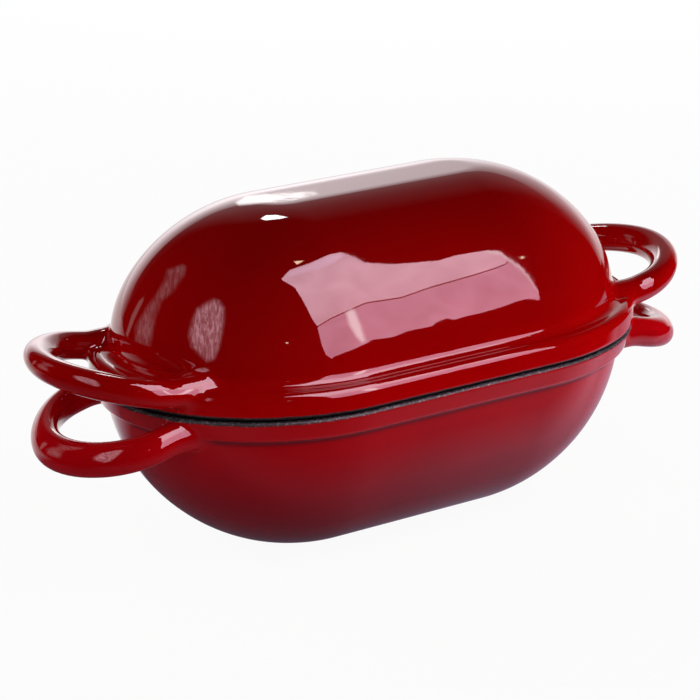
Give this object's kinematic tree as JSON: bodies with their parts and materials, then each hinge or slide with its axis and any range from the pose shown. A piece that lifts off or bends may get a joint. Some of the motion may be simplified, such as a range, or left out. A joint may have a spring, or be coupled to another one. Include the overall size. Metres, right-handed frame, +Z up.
{
  "type": "cast iron bread pan",
  "caption": "Oblong covered bread pan in enamelled cast iron: deep bowl-shaped base, domed lid and a loop handle at each end of both castings.",
  "frame": {"origin": "middle of the base's flat foot, on the table it stands on", "axes": "+X runs along the pan from one loop handle to the other, +Y across it, +Z up"},
  "size_m": [0.337, 0.161, 0.1548],
  "materials": {
    "base_enamel": "glossy red enamel outside, matt black enamel inside and on the rim's ground edge",
    "lid_enamel": "glossy red enamel outside, matt black enamel inside and on the rim's ground edge"
  },
  "bodies": {
    "root": {"base_pan": "base_enamel", "lid": "lid_enamel"}
  },
  "joints": []
}
